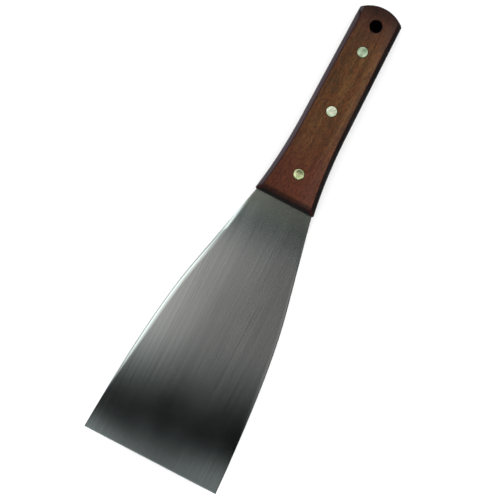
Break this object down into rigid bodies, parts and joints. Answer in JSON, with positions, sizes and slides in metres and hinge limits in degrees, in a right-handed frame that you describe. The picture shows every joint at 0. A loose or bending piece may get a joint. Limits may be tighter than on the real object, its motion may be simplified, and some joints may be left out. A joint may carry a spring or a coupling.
{
  "type": "flexible putty knife",
  "caption": "Long flared steel blade with a straight working edge and a full tang, riveted between two bevelled wooden scales with a hanging hole.",
  "frame": {"origin": "middle of the working edge, on the mid-plane of the blade", "axes": "+X along the knife, out of the working edge; +Y across the blade; +Z out of the flat of the blade, on the side of the rivets' pin heads"},
  "size_m": [0.2618, 0.0762, 0.0156],
  "materials": {
    "blade_steel": "satin, ground lengthwise",
    "handle_wood": "dark reddish-brown hardwood under thin lacquer",
    "rivet_metal": "polished pale nickel silver"
  },
  "bodies": {
    "root": {"blade": "blade_steel", "upper_scale": "handle_wood", "lower_scale": "handle_wood", "front_rivet_pin": "rivet_metal", "front_rivet_tube": "rivet_metal", "middle_rivet_pin": "rivet_metal", "middle_rivet_tube": "rivet_metal", "rear_rivet_pin": "rivet_metal", "rear_rivet_tube": "rivet_metal"}
  },
  "joints": []
}
